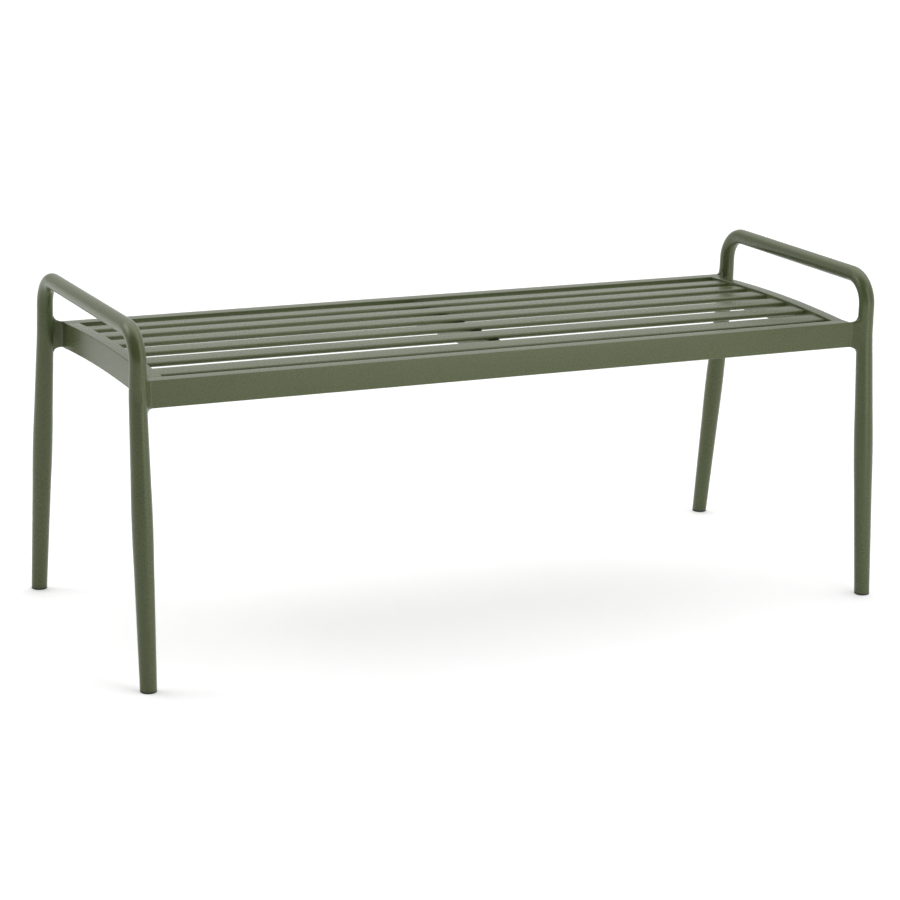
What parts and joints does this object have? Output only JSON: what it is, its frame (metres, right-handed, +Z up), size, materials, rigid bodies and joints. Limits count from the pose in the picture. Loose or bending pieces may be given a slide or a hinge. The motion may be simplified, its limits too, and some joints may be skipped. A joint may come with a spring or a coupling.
{
  "type": "backless bench",
  "caption": "Backless slatted bench with splayed spindle legs and a low tube grab handle over each end of the seat.",
  "frame": {"origin": "on the floor under the middle of the seat, at mid length and mid depth", "axes": "+X along the length of the seat, towards the right end; +Y towards the rear rail; +Z up"},
  "size_m": [1.279, 0.5378, 0.5345],
  "materials": {
    "powder_coat": "satin powder coat, sage green",
    "glide_plastic": "matt black plastic"
  },
  "bodies": {
    "root": {"front_rail": "powder_coat", "rear_rail": "powder_coat", "left_rail": "powder_coat", "right_rail": "powder_coat", "cross_bar": "powder_coat", "left_handle": "powder_coat", "right_handle": "powder_coat", "slat_1": "powder_coat", "slat_2": "powder_coat", "slat_3": "powder_coat", "slat_4": "powder_coat", "slat_5": "powder_coat", "slat_6": "powder_coat", "front_left_leg": "powder_coat", "front_left_link": "powder_coat", "front_left_glide": "glide_plastic", "front_right_leg": "powder_coat", "front_right_link": "powder_coat", "front_right_glide": "glide_plastic", "rear_left_leg": "powder_coat", "rear_left_link": "powder_coat", "rear_left_glide": "glide_plastic", "rear_right_leg": "powder_coat", "rear_right_link": "powder_coat", "rear_right_glide": "glide_plastic"}
  },
  "joints": []
}
